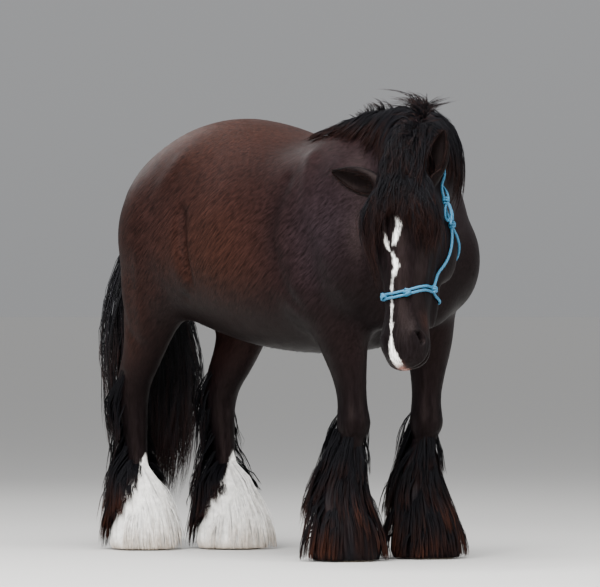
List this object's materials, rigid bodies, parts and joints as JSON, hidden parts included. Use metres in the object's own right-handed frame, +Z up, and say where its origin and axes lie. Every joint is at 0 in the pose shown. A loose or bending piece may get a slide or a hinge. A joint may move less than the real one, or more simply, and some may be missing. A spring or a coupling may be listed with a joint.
{
  "type": "feathered cob horse",
  "caption": "Standing heavily feathered cob with lowered turned head, long mane, forelock and tail, white hind feather and a worn rope halter.",
  "frame": {"origin": "on the floor, under the middle of the horse's bounding box", "axes": "+Z up, -Y the way the body faces, +X the horse's own left"},
  "size_m": [0.8508, 2.136, 1.5706],
  "materials": {
    "coat": "short dark brown hair with a sheen",
    "dark": "long black hair",
    "white": "long white hair",
    "horn": "horn",
    "eye": "wet and dark",
    "rope": "laid rope"
  },
  "bodies": {
    "root": {"torso": "coat", "neck": "coat", "head": "coat", "ear_left": "coat", "ear_right": "coat", "tail": "dark", "eye_left": "eye", "eye_right": "eye", "halter": "rope", "foreleg_left": "coat", "lower_foreleg_left": "dark", "hoof_foreleg_left": "horn", "foreleg_right": "coat", "lower_foreleg_right": "dark", "hoof_foreleg_right": "horn", "hindleg_left": "coat", "lower_hindleg_left": "white", "hoof_hindleg_left": "horn", "hindleg_right": "coat", "lower_hindleg_right": "white", "hoof_hindleg_right": "horn"}
  },
  "joints": []
}
